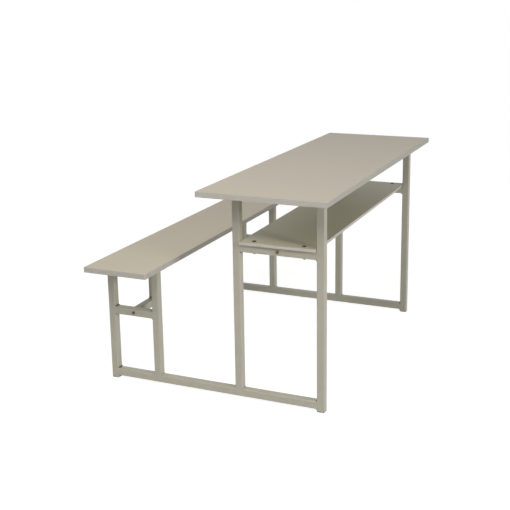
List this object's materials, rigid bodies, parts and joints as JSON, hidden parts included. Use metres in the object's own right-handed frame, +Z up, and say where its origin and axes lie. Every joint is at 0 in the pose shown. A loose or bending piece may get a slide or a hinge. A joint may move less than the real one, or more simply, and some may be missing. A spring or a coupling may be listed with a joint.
{
  "type": "school desk and bench",
  "caption": "Long school desk with a book shelf, joined to a backless bench by two welded square-tube end frames; laminated board desktop, shelf and seat.",
  "frame": {"origin": "on the floor under the middle of the whole piece, halfway between the far edge of the desktop and the back edge of the seat", "axes": "+X along the desktop, +Y from the desk towards the bench, +Z up"},
  "size_m": [1.2, 0.821, 0.69],
  "materials": {
    "frame_enamel": "grey-beige stove enamel on welded steel tube, satin",
    "desktop_laminate": "beige melamine-faced particle board, matt",
    "seat_laminate": "beige melamine-faced particle board, matt",
    "shelf_laminate": "beige melamine-faced board, thin, matt",
    "edge_band": "pale grey-beige plastic edge band",
    "grey_plastic": "grey-beige moulded plastic",
    "zinc_plate": "yellow zinc-plated steel, dulled to brown"
  },
  "bodies": {
    "root": {"desktop_board": "desktop_laminate", "desktop_edge_band": "edge_band", "left_back_desktop_screw": "zinc_plate", "left_back_seat_screw": "zinc_plate", "left_back_shelf_bolt": "zinc_plate", "left_back_shelf_nut": "zinc_plate", "left_base_rail": "frame_enamel", "left_bench_back_leg": "frame_enamel", "left_bench_foot_glide": "grey_plastic", "left_bench_front_leg": "frame_enamel", "left_bench_rail": "frame_enamel", "left_bench_rail_bolt": "zinc_plate", "left_bracket_arm": "frame_enamel", "left_bracket_insert": "zinc_plate", "left_bracket_post": "frame_enamel", "left_desk_back_leg": "frame_enamel", "left_desk_foot_glide": "grey_plastic", "left_desk_front_leg": "frame_enamel", "left_desktop_rail": "frame_enamel", "left_front_desktop_screw": "zinc_plate", "left_front_seat_screw": "zinc_plate", "left_front_shelf_bolt": "zinc_plate", "left_front_shelf_nut": "zinc_plate", "left_middle_seat_screw": "zinc_plate", "left_seat_rail": "frame_enamel", "left_shelf_rail": "frame_enamel", "left_shelf_rail_bolt": "zinc_plate", "left_stretcher_insert": "zinc_plate", "right_back_desktop_screw": "zinc_plate", "right_back_seat_screw": "zinc_plate", "right_back_shelf_bolt": "zinc_plate", "right_back_shelf_nut": "zinc_plate", "right_base_rail": "frame_enamel", "right_bench_back_leg": "frame_enamel", "right_bench_foot_glide": "grey_plastic", "right_bench_front_leg": "frame_enamel", "right_bench_rail": "frame_enamel", "right_bench_rail_bolt": "zinc_plate", "right_bracket_arm": "frame_enamel", "right_bracket_insert": "zinc_plate", "right_bracket_post": "frame_enamel", "right_desk_back_leg": "frame_enamel", "right_desk_foot_glide": "grey_plastic", "right_desk_front_leg": "frame_enamel", "right_desktop_rail": "frame_enamel", "right_front_desktop_screw": "zinc_plate", "right_front_seat_screw": "zinc_plate", "right_front_shelf_bolt": "zinc_plate", "right_front_shelf_nut": "zinc_plate", "right_middle_seat_screw": "zinc_plate", "right_seat_rail": "frame_enamel", "right_shelf_rail": "frame_enamel", "right_shelf_rail_bolt": "zinc_plate", "right_stretcher_insert": "zinc_plate", "seat_board": "seat_laminate", "seat_edge_band": "edge_band", "seat_stretcher": "frame_enamel", "shelf_board": "shelf_laminate", "shelf_edge_band": "edge_band", "shelf_stretcher": "frame_enamel"}
  },
  "joints": []
}
